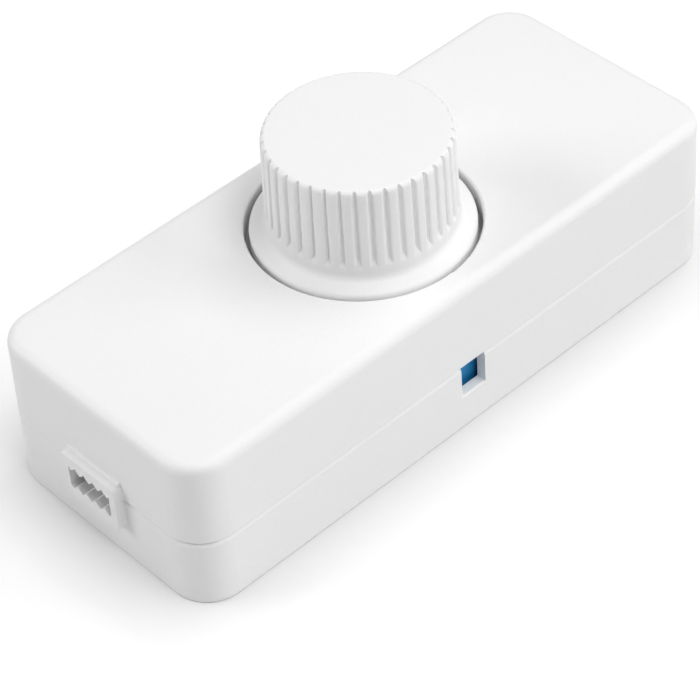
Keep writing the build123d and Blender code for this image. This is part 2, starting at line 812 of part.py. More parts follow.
with BuildPart() as knob_blank:
    with BuildSketch(Plane.XZ):
        with BuildLine():
            Polyline(
                (0, hub_bottom),
                (0, knob_top),
                (knob_top_radius, knob_top),
                (knob_base_radius, knob_flare),
            )
            cove_middle = (knob_base_radius + knob_cove_radius, knob_flare)
            cove = CenterArc(cove_middle, knob_cove_radius, 180, 90 - knob_skirt_fall)
            knob_rim = (cove @ 1).Y - (skirt_radius - (cove @ 1).X) * math.tan(math.radians(knob_skirt_fall))
            skirt_shoulder = knob_rim - knob_skirt_shoulder
            Polyline(
                cove @ 1,
                (skirt_radius, knob_rim),
                (skirt_radius, skirt_bottom),
                (skirt_radius - knob_skirt_wall, skirt_bottom),
                (skirt_radius - knob_skirt_wall, skirt_shoulder),
                (knob_inner_radius, knob_flare),
                (knob_inner_radius, knob_inner_top),
                (knob_hub_radius, knob_inner_top),
                (knob_hub_radius, hub_bottom),
                (0, hub_bottom),
            )
        make_face()
    revolve(axis=Axis.Z)
    fillet(knob_blank.faces().sort_by(Axis.Z)[-1].edges(), knob_top_edge_radius)
    rim_edge = knob_blank.edges().filter_by(GeomType.CIRCLE).sort_by_distance((skirt_radius, 0, knob_rim))[0]
    fillet(rim_edge, knob_rim_radius)
    # Webs between the hub and the wall
    for turned in (0, 90):
        with BuildSketch(Plane.XY.offset(hub_bottom + knob_web_clearance).rotated((0, 0, turned))):
            Rectangle(2 * knob_inner_radius + knob_wall, knob_web_thickness)
            Circle(knob_hub_radius - knob_wall, mode=Mode.SUBTRACT)
        extrude(amount=knob_inner_top - hub_bottom - knob_web_clearance)
    # Bore with a flat, to match the shaft
    with BuildSketch(Plane.XY.offset(hub_bottom)):
        Circle(shaft_radius + knob_bore_clearance)
    extrude(amount=shaft_top - shaft_flat_length - hub_bottom, mode=Mode.SUBTRACT)
    with BuildSketch(Plane.XY.offset(shaft_top - shaft_flat_length)):
        Circle(shaft_radius + knob_bore_clearance)
        with Locations((0, shaft_flat_width + knob_bore_clearance)):
            Rectangle(3 * shaft_radius, 2 * shaft_radius, mode=Mode.SUBTRACT)
    extrude(amount=shaft_flat_length + knob_hub_clearance, mode=Mode.SUBTRACT)

# One groove of the knob, leaning with the taper, which leaves rounded ribs on both sides of it.
# It runs out to the surface in a steep slope at its lower end, and through the rounded edge at the top.
groove_plane = Plane(
    origin=(knob_base_radius, 0, knob_flare),
    x_dir=(knob_top - knob_flare, 0, knob_base_radius - knob_top_radius),
    z_dir=(knob_top_radius - knob_base_radius, 0, knob_top - knob_flare),
)
groove_end = Plane(origin=(knob_base_radius, 0, case_height + groove_start), z_dir=(groove_run_out, 0, 1))
rib_side = groove_mouth / 2 + rib_edge_radius
with BuildPart() as groove:
    with BuildSketch(groove_plane):
        with BuildLine():
            hollow = CenterArc((groove_floor / 2 - groove_depth, 0), groove_floor / 2, 90, 180)
            left_edge = CenterArc((-rib_edge_radius, rib_side), rib_edge_radius, -90, 90)
            right_edge = CenterArc((-rib_edge_radius, -rib_side), rib_edge_radius, 0, 90)
            Line(hollow @ 0, left_edge @ 0)
            Line(hollow @ 1, right_edge @ 1)
            Polyline(
                left_edge @ 1,
                (groove_overshoot, rib_side),
                (groove_overshoot, -rib_side),
                right_edge @ 0,
            )
        make_face()
    extrude(amount=knob_top - knob_flare + groove_overshoot)
    split(bisect_by=groove_end, keep=Keep.TOP)

with BuildPart() as knob:
    add(knob_blank.part)
    with PolarLocations(0, groove_count, start_angle=groove_turn):
        add(groove.part, mode=Mode.SUBTRACT)

knob.part.label = "knob"
export_step(knob.part, "parts/knob.step")

# Trimmer: its blue case stands on the board behind the window
trimmer_screw_z = board_top + trimmer_height - trimmer_screw_drop
with BuildPart() as trimmer_case:
    with BuildSketch(Plane.XY.offset(board_top)):
        with Locations((0, trimmer_middle)):
            Rectangle(trimmer_width, trimmer_depth)
    extrude(amount=trimmer_height)
    chamfer(trimmer_case.edges().filter_by(Axis.Z), trimmer_edge)
    with BuildSketch(Plane(origin=(0, trimmer_face, trimmer_screw_z), z_dir=(0, -1, 0))):
        Circle(trimmer_screw_radius + shaft_clearance)
    extrude(amount=-(trimmer_screw_length - trimmer_screw_proud + shaft_clearance), mode=Mode.SUBTRACT)

trimmer_case.part.label = "trimmer_case"
export_step(trimmer_case.part, "parts/trimmer_case.step")

with BuildPart() as trimmer_screw:
    screw_face = trimmer_face - trimmer_screw_proud
    with BuildSketch(Plane(origin=(0, screw_face, trimmer_screw_z), z_dir=(0, -1, 0))):
        Circle(trimmer_screw_radius)
    extrude(amount=-trimmer_screw_length)
    with BuildSketch(Plane(origin=(0, screw_face, trimmer_screw_z), z_dir=(0, -1, 0))):
        Rectangle(2 * trimmer_screw_radius, trimmer_slot_width)
    extrude(amount=-trimmer_slot_depth, mode=Mode.SUBTRACT)

trimmer_screw.part.label = "trimmer_screw"
export_step(trimmer_screw.part, "parts/trimmer_screw.step")

with BuildPart() as trimmer_pins:
    with BuildSketch(Plane.XY.offset(lead_end)):
        with Locations(*trimmer_pin_places):
            Circle(trimmer_pin_radius)
    extrude(amount=board_top - lead_end)

trimmer_pins.part.label = "trimmer_pins"
export_step(trimmer_pins.part, "parts/trimmer_pins.step")

# Screw terminal blocks, one at each end, wire holes facing the cable entry
block_width = 2 * block_pitch
cage_bottom = board_top + block_floor
cage_top = cage_bottom + cage_height
block_top = board_top + block_height
clamp_top = block_top - clamp_head_sink
clamp_seat = clamp_top - clamp_head_height
clamp_tip = cage_top - cage_wall - clamp_reach

with BuildPart() as terminal_block:
    with BuildSketch(Plane.XY.offset(board_top)):
        with Locations((-block_x, 0)):
            Rectangle(block_depth, block_width)
    extrude(amount=block_height)
    chamfer(terminal_block.faces().sort_by(Axis.Z)[-1].edges(), block_edge)
    # Wire holes, each with room for its cage
    with BuildSketch(Plane.YZ.offset(-block_x - block_depth / 2)):
        with Locations((0, cage_bottom + cage_height / 2)):
            with GridLocations(block_pitch, 0, 2, 1):
                Rectangle(cage_width + 2 * cage_clearance, cage_height)
    extrude(amount=(block_depth + cage_depth) / 2 + cage_clearance, mode=Mode.SUBTRACT)
    # Screw wells
    with BuildSketch(Plane.XY.offset(cage_top)):
        with Locations((-block_x, 0)):
            with GridLocations(0, block_pitch, 1, 2):
                Circle(clamp_thread_radius + lead_clearance)
    extrude(amount=block_top - cage_top, mode=Mode.SUBTRACT)
    with BuildSketch(Plane.XY.offset(clamp_seat)):
        with Locations((-block_x, 0)):
            with GridLocations(0, block_pitch, 1, 2):
                Circle(clamp_head_radius + lead_clearance)
    extrude(amount=block_top - clamp_seat, mode=Mode.SUBTRACT)
    # Pin holes
    with BuildSketch(Plane.XY.offset(board_top)):
        with Locations((-block_x, 0)):
            with GridLocations(0, block_pitch, 1, 2):
                Circle(block_pin_radius + lead_clearance)
    extrude(amount=block_floor, mode=Mode.SUBTRACT)

terminal_block.part.label = "input_terminal_block"
export_step(terminal_block.part, "parts/input_terminal_block.step")

with BuildPart() as output_terminal_block:
    add(terminal_block.part)
    mirror(about=Plane.YZ, mode=Mode.REPLACE)

output_terminal_block.part.label = "output_terminal_block"
export_step(output_terminal_block.part, "parts/output_terminal_block.step")

with BuildPart() as clamp_cages:
    with BuildSketch(Plane.XY.offset(cage_bottom)):
        with Locations(*block_pin_places):
            Rectangle(cage_depth, cage_width)
    extrude(amount=cage_height)
    with BuildSketch(Plane.XY.offset(cage_bottom + cage_wall)):
        with Locations(*block_pin_places):
            Rectangle(cage_depth, cage_width - 2 * cage_wall)
    extrude(amount=cage_height - 2 * cage_wall, mode=Mode.SUBTRACT)
    with BuildSketch(Plane.XY.offset(cage_top - cage_wall)):
        with Locations(*block_pin_places):
            Circle(clamp_thread_radius + thread_clearance)
    extrude(amount=cage_wall, mode=Mode.SUBTRACT)

clamp_cages.part.label = "clamp_cages"
export_step(clamp_cages.part, "parts/clamp_cages.step")

with BuildPart() as clamp_screws:
    with BuildSketch(Plane.XY.offset(clamp_tip)):
        with Locations(*block_pin_places):
            Circle(clamp_thread_radius)
    extrude(amount=clamp_seat - clamp_tip)
    with BuildSketch(Plane.XY.offset(clamp_seat)):
        with Locations(*block_pin_places):
            Circle(clamp_head_radius)
    extrude(amount=clamp_head_height)
    with BuildSketch(Plane.XY.offset(clamp_top)):
        with Locations(*block_pin_places):
            Rectangle(2 * clamp_head_radius, clamp_slot_width)
    extrude(amount=-clamp_slot_depth, mode=Mode.SUBTRACT)

clamp_screws.part.label = "clamp_screws"
export_step(clamp_screws.part, "parts/clamp_screws.step")

with BuildPart() as terminal_pins:
    with BuildSketch(Plane.XY.offset(lead_end)):
        with Locations(*block_pin_places):
            Circle(block_pin_radius)
    extrude(amount=cage_bottom - lead_end)

terminal_pins.part.label = "terminal_pins"
export_step(terminal_pins.part, "parts/terminal_pins.step")

# Power transistor: moulded case, metal tab behind it, three leads down through the board
tab_bottom = mosfet_bottom + mosfet_tab_inset
tab_top = roof_underside - mosfet_headroom
tab_hole_z = tab_top - mosfet_hole_drop

with BuildPart() as mosfet_case:
    with BuildSketch(Plane.XY.offset(mosfet_bottom)):
        with Locations((mosfet_x, mosfet_lead_y)):
            Rectangle(mosfet_width, mosfet_case_thickness)
    extrude(amount=tab_top - mosfet_tab_reach - mosfet_bottom)
    chamfer(mosfet_case.faces().sort_by(Axis.Y)[0].edges().filter_by(Axis.Z), mosfet_tab_inset)

mosfet_case.part.label = "mosfet_case"
export_step(mosfet_case.part, "parts/mosfet_case.step")

with BuildPart() as mosfet_tab:
    with BuildSketch(Plane.XY.offset(tab_bottom)):
        with Locations((mosfet_x, mosfet_tab_front + mosfet_tab_thickness / 2)):
            Rectangle(mosfet_width, mosfet_tab_thickness)
    extrude(amount=tab_top - tab_bottom)
    with BuildSketch(Plane(origin=(mosfet_x, mosfet_tab_front, tab_hole_z), z_dir=(0, -1, 0))):
        Circle(mosfet_hole_radius)
    extrude(amount=-mosfet_tab_thickness, mode=Mode.SUBTRACT)

mosfet_tab.part.label = "mosfet_tab"
export_step(mosfet_tab.part, "parts/mosfet_tab.step")

with BuildPart() as mosfet_leads:
    with BuildSketch(Plane.XY.offset(lead_end)):
        with Locations(*mosfet_lead_places):
            Rectangle(mosfet_lead_width, mosfet_lead_thickness)
    extrude(amount=mosfet_bottom - lead_end)

mosfet_leads.part.label = "mosfet_leads"
export_step(mosfet_leads.part, "parts/mosfet_leads.step")

with BuildPart() as heat_sink:
    with BuildSketch(Plane.XY.offset(board_top)):
        with Locations((mosfet_x, sink_front + sink_plate / 2)):
            Rectangle(sink_width, sink_plate)
        with Locations((mosfet_x, sink_front + sink_plate + sink_fin_depth / 2)):
            with GridLocations(sink_fin_pitch, 0, sink_fin_count, 1):
                Rectangle(sink_fin_thickness, sink_fin_depth)
    extrude(amount=roof_underside - sink_headroom - board_top)
    with BuildSketch(Plane(origin=(mosfet_x, sink_front, tab_hole_z), z_dir=(0, -1, 0))):
        Circle(sink_screw_radius + thread_clearance)
    extrude(amount=-sink_plate, mode=Mode.SUBTRACT)

heat_sink.part.label = "heat_sink"
export_step(heat_sink.part, "parts/heat_sink.step")

with BuildPart() as heat_sink_screw:
    with BuildSketch(Plane(origin=(mosfet_x, mosfet_tab_front, tab_hole_z), z_dir=(0, -1, 0))):
        Circle(sink_screw_head_radius)
    extrude(amount=sink_screw_head_height)
    fillet(heat_sink_screw.faces().sort_by(Axis.Y)[0].edges(), sink_screw_head_round)
    with BuildSketch(Plane(origin=(mosfet_x, mosfet_tab_front, tab_hole_z), z_dir=(0, -1, 0))):
        Circle(sink_screw_radius)
    extrude(amount=-(mosfet_tab_thickness + sink_screw_reach))

heat_sink_screw.part.label = "heat_sink_screw"
export_step(heat_sink_screw.part, "parts/heat_sink_screw.step")

# Smoothing capacitor: rubber bung, aluminium can rolled over it, plastic sleeve
can_base = board_top + capacitor_bung_height
capacitor_height = roof_underside - capacitor_headroom - can_base
with BuildPart() as capacitor_can:
    with BuildSketch(Plane.XY.offset(can_base)):
        with Locations((capacitor_x, capacitor_y)):
            Circle(capacitor_radius)
    extrude(amount=capacitor_height)
    fillet(capacitor_can.faces().sort_by(Axis.Z)[-1].edges(), capacitor_edge)
    with BuildSketch(Plane.XY.offset(can_base + capacitor_groove_height)):
        with Locations((capacitor_x, capacitor_y)):
            Circle(capacitor_radius)
            Circle(capacitor_radius - capacitor_groove_depth, mode=Mode.SUBTRACT)
    extrude(amount=capacitor_groove_depth, mode=Mode.SUBTRACT)

capacitor_can.part.label = "capacitor_can"
export_step(capacitor_can.part, "parts/capacitor_can.step")

sleeve_inner = capacitor_radius + capacitor_sleeve_clearance
with BuildPart() as capacitor_sleeve:
    with BuildSketch(Plane.XY.offset(can_base)):
        with Locations((capacitor_x, capacitor_y)):
            Circle(sleeve_inner + capacitor_sleeve_thickness)
            Circle(sleeve_inner, mode=Mode.SUBTRACT)
    extrude(amount=capacitor_height - capacitor_edge)

capacitor_sleeve.part.label = "capacitor_sleeve"
export_step(capacitor_sleeve.part, "parts/capacitor_sleeve.step")

with BuildPart() as capacitor_bung:
    with BuildSketch(Plane.XY.offset(board_top)):
        with Locations((capacitor_x, capacitor_y)):
            Circle(capacitor_bung_radius)
        with Locations(*capacitor_lead_places):
            Circle(capacitor_lead_radius + thread_clearance, mode=Mode.SUBTRACT)
    extrude(amount=capacitor_bung_height)

capacitor_bung.part.label = "capacitor_bung"
export_step(capacitor_bung.part, "parts/capacitor_bung.step")

with BuildPart() as capacitor_leads:
    with BuildSketch(Plane.XY.offset(lead_end)):
        with Locations(*capacitor_lead_places):
            Circle(capacitor_lead_radius)
    extrude(amount=can_base - lead_end)

capacitor_leads.part.label = "capacitor_leads"
export_step(capacitor_leads.part, "parts/capacitor_leads.step")

# Control chip, with four leads bent down each side
chip_bottom = board_top + chip_standoff
chip_lead_z = chip_bottom + chip_height / 2
with BuildPart() as chip_case:
    with BuildSketch(Plane.XY.offset(chip_bottom)):
        with Locations((chip_x, 0)):
            Rectangle(chip_width, chip_length)
    extrude(amount=chip_height)
    chamfer(chip_case.faces().sort_by(Axis.Z)[-1].edges(), chip_pin_thickness)
    with BuildSketch(Plane.XY.offset(chip_bottom + chip_height)):
        with Locations((chip_x, chip_length / 2)):
            Circle(chip_notch_radius)
    extrude(amount=-chip_pin_thickness, mode=Mode.SUBTRACT)

chip_case.part.label = "chip_case"
export_step(chip_case.part, "parts/chip_case.step")

chip_pin_half = chip_pin_thickness / 2
with BuildPart() as chip_leads:
    for row in range(chip_rows):
        with BuildSketch(Plane.XZ.offset((row - (chip_rows - 1) / 2) * chip_pin_pitch)):
            for side in (-1, 1):
                with BuildLine():
                    Polyline(
                        (chip_x + side * chip_width / 2, chip_lead_z - chip_pin_half),
                        (chip_x + side * (chip_pin_x - chip_pin_half), chip_lead_z - chip_pin_half),
                        (chip_x + side * (chip_pin_x - chip_pin_half), lead_end),
                        (chip_x + side * (chip_pin_x + chip_pin_half), lead_end),
                        (chip_x + side * (chip_pin_x + chip_pin_half), chip_lead_z + chip_pin_half),
                        (chip_x + side * chip_width / 2, chip_lead_z + chip_pin_half),
                        close=True,
                    )
                make_face()
        extrude(amount=chip_pin_width / 2, both=True)

chip_leads.part.label = "chip_leads"
export_step(chip_leads.part, "parts/chip_leads.step")

# Resettable fuse: a disc on edge
fuse_bottom = board_top + fuse_standoff
with BuildPart() as fuse_disc:
    with BuildSketch(Plane(origin=(fuse_x, fuse_y, fuse_bottom + fuse_radius), z_dir=(0, 1, 0))):
        Circle(fuse_radius)
    extrude(amount=fuse_thickness / 2, both=True)
    fillet(fuse_disc.edges(), fuse_edge)
    # Flat feet where the leads come out
    with BuildSketch(Plane.XY.offset(fuse_bottom)):
        with Locations(*fuse_lead_places):
            Circle(fuse_thickness / 2)
    extrude(amount=fuse_radius)

fuse_disc.part.label = "fuse_disc"
export_step(fuse_disc.part, "parts/fuse_disc.step")

with BuildPart() as fuse_leads:
    with BuildSketch(Plane.XY.offset(lead_end)):
        with Locations(*fuse_lead_places):
            Circle(fuse_lead_radius)
    extrude(amount=fuse_bottom - lead_end)

fuse_leads.part.label = "fuse_leads"
export_step(fuse_leads.part, "parts/fuse_leads.step")


def axial_leads(body_length, axis_height, wire_radius):
    """Two wires from the ends of a body that lies along X, each bent down through the board."""
    run_end = body_length / 2 + axial_lead_run
    with BuildPart() as leads:
        with BuildLine(Plane.XZ) as path:
            FilletPolyline(
                (body_length / 2, axis_height),
                (run_end, axis_height),
                (run_end, lead_end),
                radius=axial_lead_bend,
            )
        with BuildSketch(Plane(origin=path.line @ 0, z_dir=path.line % 0)):
            Circle(wire_radius)
        sweep()
        mirror(about=Plane.YZ)
    return leads.part


def axial_body(body_length, axis_height, body_radius, edge):
    """A round body along X with rounded ends."""
    with BuildPart() as body:
        with BuildSketch(Plane.YZ):
            with Locations((0, axis_height)):
                Circle(body_radius)
        extrude(amount=body_length / 2, both=True)
        fillet(body.edges().filter_by(GeomType.CIRCLE), edge)
    return body.part


diode_body_shape = axial_body(diode_length, board_top + diode_radius, diode_radius, diode_edge)
diode_lead_pair = axial_leads(diode_length, board_top + diode_radius, diode_lead_radius)
resistor_body_shape = axial_body(resistor_length, board_top + resistor_radius, resistor_radius, resistor_edge)
resistor_lead_pair = axial_leads(resistor_length, board_top + resistor_radius, resistor_lead_radius)

with BuildPart() as diode_body:
    with Locations((diode_x, diode_y)):
        add(diode_body_shape)

diode_body.part.label = "diode_body"
export_step(diode_body.part, "parts/diode_body.step")

with BuildPart() as diode_leads:
    with Locations((diode_x, diode_y)):
        add(diode_lead_pair)

diode_leads.part.label = "diode_leads"
export_step(diode_leads.part, "parts/diode_leads.step")

with BuildPart() as resistor_bodies:
    with Locations(*resistor_places):
        add(resistor_body_shape, rotation=(0, 0, 90))

resistor_bodies.part.label = "resistor_bodies"
export_step(resistor_bodies.part, "parts/resistor_bodies.step")

with BuildPart() as resistor_leads:
    with Locations(*resistor_places):
        add(resistor_lead_pair, rotation=(0, 0, 90))

resistor_leads.part.label = "resistor_leads"
export_step(resistor_leads.part, "parts/resistor_leads.step")

# Voltage regulator: a round case with one flat side on three leads
regulator_bottom = board_top + regulator_standoff
with BuildPart() as regulator_case:
    with BuildSketch(Plane.XY.offset(regulator_bottom)):
        with Locations((regulator_x, regulator_y)):
            Circle(regulator_radius)
        with Locations((regulator_x, regulator_y - regulator_flat - regulator_radius)):
            Rectangle(2 * regulator_radius, 2 * regulator_radius, mode=Mode.SUBTRACT)
    extrude(amount=regulator_height)

regulator_case.part.label = "regulator_case"
export_step(regulator_case.part, "parts/regulator_case.step")

with BuildPart() as regulator_leads:
    with BuildSketch(Plane.XY.offset(lead_end)):
        with Locations(*regulator_lead_places):
            Circle(regulator_lead_radius)
    extrude(amount=regulator_bottom - lead_end)

regulator_leads.part.label = "regulator_leads"
export_step(regulator_leads.part, "parts/regulator_leads.step")
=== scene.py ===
import json
import math

import bpy
from mathutils import Matrix, Vector


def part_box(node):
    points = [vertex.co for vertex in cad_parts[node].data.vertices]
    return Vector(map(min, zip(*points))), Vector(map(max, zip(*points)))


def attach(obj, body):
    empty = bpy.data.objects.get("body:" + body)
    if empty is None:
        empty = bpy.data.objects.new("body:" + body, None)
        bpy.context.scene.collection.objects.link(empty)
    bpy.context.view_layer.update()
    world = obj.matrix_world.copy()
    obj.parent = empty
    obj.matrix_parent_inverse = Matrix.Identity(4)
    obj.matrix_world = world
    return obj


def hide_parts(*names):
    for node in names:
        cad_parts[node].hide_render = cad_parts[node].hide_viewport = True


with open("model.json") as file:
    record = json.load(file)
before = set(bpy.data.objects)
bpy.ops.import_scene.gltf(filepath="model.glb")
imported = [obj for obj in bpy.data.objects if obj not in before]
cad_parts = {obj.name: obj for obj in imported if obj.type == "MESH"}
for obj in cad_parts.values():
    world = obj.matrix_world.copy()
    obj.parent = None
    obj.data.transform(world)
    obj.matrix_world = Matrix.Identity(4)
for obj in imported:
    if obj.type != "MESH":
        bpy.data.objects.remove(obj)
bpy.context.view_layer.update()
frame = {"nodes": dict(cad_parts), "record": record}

# Inline rotary dimmer: a white two-piece case, a ribbed knob, steel fasteners and a blue trimmer.
# Everything is in metres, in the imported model's frame. Sizes are written in millimetres times MM.
MM = 0.001

# Control knob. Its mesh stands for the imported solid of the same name, and its heights and radii come from the
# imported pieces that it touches.
KNOB_LOW, KNOB_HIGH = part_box("knob")
CASE_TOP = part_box("top_cover")[1].z
BUSHING_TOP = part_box("pot_bushing")[1].z
SHAFT_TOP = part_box("pot_shaft")[1].z
KNOB_TOP = KNOB_HIGH.z

# Skirt: its outer radius and lower edge, its wall, how far the hollow's corner stays below the outer one, the
# slope of its upper face, and the rounding of its rim
SKIRT_RADIUS = KNOB_HIGH.x
SKIRT_BOTTOM = KNOB_LOW.z
SKIRT_WALL = 1.8 * MM
SKIRT_SHOULDER = 1.0 * MM
SKIRT_FALL = math.radians(30)
RIM_RADIUS = 0.85 * MM

# Grip: a slightly tapered side that meets the top in a rounded edge and the skirt in a cove
KNOB_BASE_RADIUS = SKIRT_RADIUS - 2.35 * MM
KNOB_TOP_RADIUS = KNOB_BASE_RADIUS - 0.35 * MM
KNOB_EDGE_RADIUS = 0.8 * MM
COVE_START = CASE_TOP + 1.9 * MM
COVE_RADIUS = 1.3 * MM

# Grooves between the ribs. The turn is where the first one stands, floor and mouth are widths, and the
# run-out is how far up the side a groove gets for each unit of its depth.
GROOVE_COUNT = 40
GROOVE_PITCH = 2 * math.pi / GROOVE_COUNT
GROOVE_TURN = math.radians(-0.6)
GROOVE_START = CASE_TOP + 3.0 * MM
GROOVE_RUN_OUT = 2.0
GROOVE_DEPTH = 0.6 * MM
GROOVE_FLOOR = 0.24 * MM
GROOVE_MOUTH = 0.5 * MM
RIB_EDGE_RADIUS = 0.42 * MM

# Hollow: the wall and roof, the hub over the shaft, its bore with a flat on one side, and four webs
KNOB_WALL = 1.4 * MM
KNOB_ROOF = 2.0 * MM
HUB_RADIUS = 5.0 * MM
HUB_BOTTOM = BUSHING_TOP + 0.6 * MM
BORE_RADIUS = 3.02 * MM
BORE_FLAT = 1.52 * MM
BORE_TOP = SHAFT_TOP + 0.6 * MM
FLAT_BOTTOM = SHAFT_TOP - 8.0 * MM
FLAT_STEP = 0.01 * MM
WEB_THICKNESS = 1.2 * MM
WEB_BOTTOM = HUB_BOTTOM + 0.8 * MM

# Where the knob's mesh has its rows and columns of points, as shares of the stretch that they divide
TOP_RINGS = 6
EDGE_STEPS = 12
CURVE_STEPS = 8
SIDE_ROWS = (0.05, 0.2, 0.4, 0.6, 0.8)
RUN_OUT_ROWS = (1.05, 0.85, 0.7, 0.55, 0.4, 0.25, 0.12, 0)
FLOOR_COLUMNS = (0, 0.5, 0.85, 1)
EDGE_COLUMNS = (0.1, 0.25, 0.42, 0.6, 0.8, 1)

# Turns sharper than this between two faces stay crisp when the mesh is shaded smooth
CRISP_ANGLE = math.radians(35)

# Moulded plastic: the size and depth in tone of the drift that the melt's flow leaves, the painted shade in the
# grain's pits as a share of its peaks' brightness, and how far the grain moves the roughness either way
WHITE_ABS = "#F6F6F6"
DRIFT_MM = 14
DRIFT_SHADE = 0.97
PAINTED_PIT_SHADE = 0.92
GRAIN_SHINE = 0.05

# Metals: how much smoother and rougher the tool marks make the surface, and the width and depth in tone of
# the zinc plate's crystals
MARK_SMOOTHER = 0.08
MARK_ROUGHER = 0.12
ZINC_CRYSTAL_MM = 0.9
ZINC_CRYSTAL_SHADE = 0.85

# Glass cloth under the solder mask: its thread spacing and how much lighter the crossings are
THREAD_SPACING_MM = 0.329
THREAD_GLEAM = 1.4

# Dipped skins: the width, height and depth in tone of the slow waves of orange peel
PEEL_MM = 1.2
PEEL_HEIGHT_MM = 0.04
PEEL_SHADE = 0.9

# Blender's wave texture repeats 20 times over two pi of its scaled coordinate
WAVES_PER_TURN = 20

# Floor: half its width in metres, and the glow that the camera sees in it, which ambient occlusion dims within
# a
# reach of the case: a painted contact shadow over the real one
FLOOR_HALF = 3.0
PAINTED_SHADOW_REACH = 12 * MM
GLOW_SHARE = 0.35
GLOW_LEVEL = 1.45

# Light: the sky's level, and where each softbox stands in metres and how bright it alone makes a white card
SKY_LEVEL = 0.21
SOFTBOX_SIZE = 0.5
SOFTBOXES = {
    "back left softbox": ((-0.61, 0.61, 0.5), 0.385),
    "front softbox": ((0.0, -0.5, 0.87), 0.42),
    "high right softbox": ((0.5, 0.0, 0.87), 0.255),
    "low right softbox": ((0.61, -0.61, 0.5), 0.26),
}

# Camera: its place, its heading right of +Y, its pitch below the horizon and its roll, in degrees, and its
# focal length in millimetres, all fitted to the outline of the case in the photo
CAMERA_PLACE = Vector((-186.73, -212.44, 270.90)) * MM
CAMERA_HEADING = 40.679
CAMERA_PITCH = 43.712
CAMERA_ROLL = -4.289
CAMERA_LENS = 139.638


def colour(code, share=1.0):
    """An sRGB hex colour as the linear values that a shader takes, dimmed or lit to a share of itself."""
    channels = [int(code[start:start + 2], 16) / 255 for start in (1, 3, 5)]
    linear = [c / 12.92 if c <= 0.04045 else ((c + 0.055) / 1.055) ** 2.4 for c in channels]
    return (*[c * share for c in linear], 1.0)


def add_node(tree, kind, inputs=None, **settings):
    """Adds one node. Settings are its own properties; inputs fill its sockets with values or outputs."""
    made = tree.nodes.new(kind)
    for name, value in settings.items():
        setattr(made, name, value)
    for name, value in (inputs or {}).items():
        if isinstance(value, bpy.types.NodeSocket):
            tree.links.new(value, made.inputs[name])
        else:
            made.inputs[name].default_value = value
    return made


def new_finish(name, base, roughness, ior=1.5, metallic=0.0):
    """A material with one Principled surface. Metals keep the default index of refraction."""
    material = bpy.data.materials.new(name)
    material.use_nodes = True
    tree = material.node_tree
    tree.nodes.clear()
    surface = add_node(
        tree,
        "ShaderNodeBsdfPrincipled",
        {"Base Color": colour(base), "Roughness": roughness, "IOR": ior, "Metallic": metallic},
    )
    add_node(tree, "ShaderNodeOutputMaterial", {"Surface": surface.outputs["BSDF"]})
    return material, tree, surface


def cells_per_metre(size_mm):
    """Texture scale at which one cell of a pattern is size_mm across."""
    return 1 / (size_mm * MM)


def moulded_plastic(name, base, roughness, grain_mm, grain_height_mm, ior=1.53):
    """Moulded plastic: the spark-eroded mould leaves an even grain that breaks up the shine, with a painted
    shade darkening its pits, and the melt's flow leaves a barely visible drift in tone. The real grain is
    about 0.1 mm across, too fine to show, so it is drawn at 0.12 to 0.5 mm."""
    material, tree, surface = new_finish(name, base, roughness, ior)
    place = add_node(tree, "ShaderNodeTexCoord").outputs["Object"]
    drift = add_node(
        tree, "ShaderNodeTexNoise", {"Vector": place, "Scale": cells_per_metre(DRIFT_MM), "Detail": 2.0}
    )
    tone = add_node(
        tree,
        "ShaderNodeMix",
        {"Factor": drift.outputs["Fac"], "A": colour(base), "B": colour(base, DRIFT_SHADE)},
        data_type="RGBA",
    )
    grain = add_node(
        tree,
        "ShaderNodeTexNoise",
        {"Vector": place, "Scale": cells_per_metre(grain_mm), "Detail": 3.0, "Roughness": 0.6},
    )
    # Painted shade: the grain's pits are coloured darker, standing in for the shade that falls in them
    painted_pit_shade = add_node(
        tree,
        "ShaderNodeMix",
        {"Factor": grain.outputs["Fac"], "A": colour(base, PAINTED_PIT_SHADE), "B": tone.outputs["Result"]},
        data_type="RGBA",
    )
    relief = add_node(
        tree,
        "ShaderNodeBump",
        {"Height": grain.outputs["Fac"], "Strength": 1.0, "Distance": grain_height_mm * MM},
    )
    shine = add_node(
        tree,
        "ShaderNodeMapRange",
        {
            "Value": grain.outputs["Fac"],
            "To Min": roughness - GRAIN_SHINE,
            "To Max": roughness + GRAIN_SHINE,
        },
    )
    tree.links.new(painted_pit_shade.outputs["Result"], surface.inputs["Base Color"])
    tree.links.new(shine.outputs["Result"], surface.inputs["Roughness"])
    tree.links.new(relief.outputs["Normal"], surface.inputs["Normal"])
    return material


def worked_metal(name, base, roughness, stretch, mark_mm, mark_height_mm):
    """Metal with the marks of its tool or plate. A stretch under 1 draws them long along that axis, over 1
    short. Real marks are 0.05 to 0.1 mm apart, too fine to show, so they are drawn at 0.3 mm and more."""
    material, tree, surface = new_finish(name, base, roughness, metallic=1.0)
    place = add_node(tree, "ShaderNodeTexCoord").outputs["Object"]
    along = add_node(tree, "ShaderNodeMapping", {"Vector": place, "Scale": stretch})
    marks = add_node(
        tree,
        "ShaderNodeTexNoise",
        {
            "Vector": along.outputs["Vector"],
            "Scale": cells_per_metre(mark_mm),
            "Detail": 4.0,
            "Roughness": 0.65,
        },
    )
    shine = add_node(
        tree,
        "ShaderNodeMapRange",
        {
            "Value": marks.outputs["Fac"],
            "To Min": roughness - MARK_SMOOTHER,
            "To Max": roughness + MARK_ROUGHER,
        },
    )
    relief = add_node(
        tree,
        "ShaderNodeBump",
        {"Height": marks.outputs["Fac"], "Strength": 1.0, "Distance": mark_height_mm * MM},
    )
    tree.links.new(shine.outputs["Result"], surface.inputs["Roughness"])
    tree.links.new(relief.outputs["Normal"], surface.inputs["Normal"])
    return material


